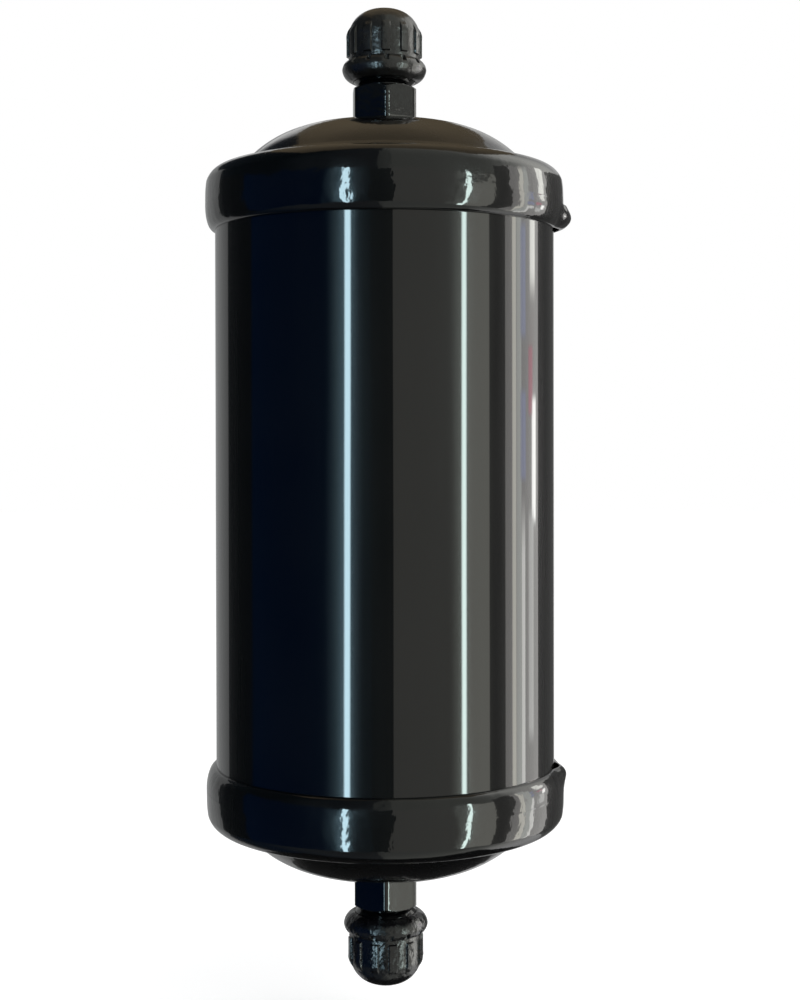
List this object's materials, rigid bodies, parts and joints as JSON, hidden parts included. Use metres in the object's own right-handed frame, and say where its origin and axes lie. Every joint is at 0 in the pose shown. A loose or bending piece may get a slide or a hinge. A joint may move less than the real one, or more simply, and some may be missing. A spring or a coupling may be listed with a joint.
{
  "type": "filter drier",
  "caption": "Black cylindrical refrigerant line filter drier with domed welded ends, male flare connections and ribbed screw-on plastic caps.",
  "frame": {"origin": "on the vessel's axis, midway between the tips of the two plastic caps", "axes": "+Z along the axis towards the inlet end, which is up in the picture; -Y is the side that faces the camera, +X is the picture's right"},
  "size_m": [0.0939, 0.092, 0.2506],
  "materials": {
    "black_paint": "gloss",
    "fitting_paint": "gloss",
    "cap_plastic": "satin",
    "seal_rubber": "matt",
    "spring_steel": "satin",
    "pressed_steel": "satin",
    "felt": "matt",
    "moulded_core": "matt",
    "polyester": "matt",
    "screen_wire": "satin"
  },
  "bodies": {
    "housing": {"shell_tube": "black_paint", "inlet_end_cap": "black_paint", "outlet_end_cap": "black_paint", "inlet_girth_weld": "black_paint", "outlet_girth_weld": "black_paint", "inlet_fitting": "fitting_paint", "outlet_fitting": "fitting_paint", "inlet_fitting_weld": "black_paint", "outlet_fitting_weld": "black_paint", "core_spring": "spring_steel", "spring_seat": "pressed_steel", "inlet_felt_pad": "felt", "desiccant_core": "moulded_core", "outlet_core_gasket": "felt", "outlet_filter_mat": "polyester", "outlet_screen": "screen_wire", "perforated_plate": "pressed_steel"},
    "inlet_seal": {"inlet_cap_seal": "seal_rubber"},
    "inlet_cap": {"inlet_dust_cap": "cap_plastic"},
    "outlet_seal": {"outlet_cap_seal": "seal_rubber"},
    "outlet_cap": {"outlet_dust_cap": "cap_plastic"}
  },
  "joints": [
    {"name": "inlet_cap_travel", "type": "slide", "parent": "housing", "child": "inlet_seal", "axis": [0, 0, 1], "range_m": [0, 0.01693]},
    {"name": "inlet_cap_turn", "type": "hinge", "parent": "inlet_seal", "child": "inlet_cap", "pos_m": [0, 0, 0.1166], "axis": [0, 0, 1], "range_deg": [0, 4321]},
    {"name": "outlet_cap_travel", "type": "slide", "parent": "housing", "child": "outlet_seal", "axis": [0, 0, -1], "range_m": [0, 0.01693]},
    {"name": "outlet_cap_turn", "type": "hinge", "parent": "outlet_seal", "child": "outlet_cap", "pos_m": [0, 0, -0.1166], "axis": [0, 0, -1], "range_deg": [0, 4321]}
  ],
  "couplings": [
    {"joint": "inlet_cap_turn", "follows": "inlet_cap_travel", "rad_per_m": 4452.7},
    {"joint": "outlet_cap_turn", "follows": "outlet_cap_travel", "rad_per_m": 4452.7}
  ]
}
